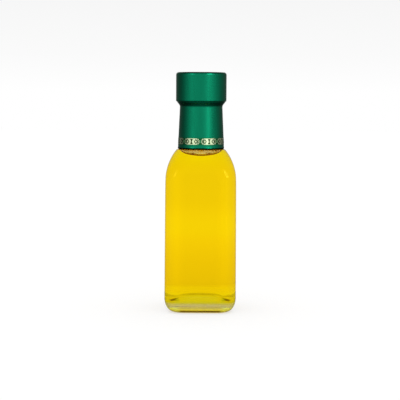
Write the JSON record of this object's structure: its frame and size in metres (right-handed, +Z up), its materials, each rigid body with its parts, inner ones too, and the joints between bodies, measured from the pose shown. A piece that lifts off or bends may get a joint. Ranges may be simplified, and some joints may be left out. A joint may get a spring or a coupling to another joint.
{
  "type": "square oil bottle",
  "caption": "Square clear glass bottle with curved shoulders, filled with yellow oil, its neck and cap under a green capsule with a gold band.",
  "frame": {"origin": "on the table, at the centre of the bottle's base", "axes": "+Z up along the bottle's axis, towards the cap; X and Y square to the flat sides, and -Y is the side that the picture shows"},
  "size_m": [0.0536, 0.0536, 0.18],
  "materials": {
    "clear_glass": "clear polished glass with a faint green tint",
    "yellow_oil": "clear yellow oil",
    "green_capsule": "satin shrunk film, metallic green",
    "gold_foil": "bright printed gold"
  },
  "bodies": {
    "root": {"bottle": "clear_glass", "oil": "yellow_oil", "capsule": "green_capsule", "gold_band": "gold_foil"}
  },
  "joints": []
}
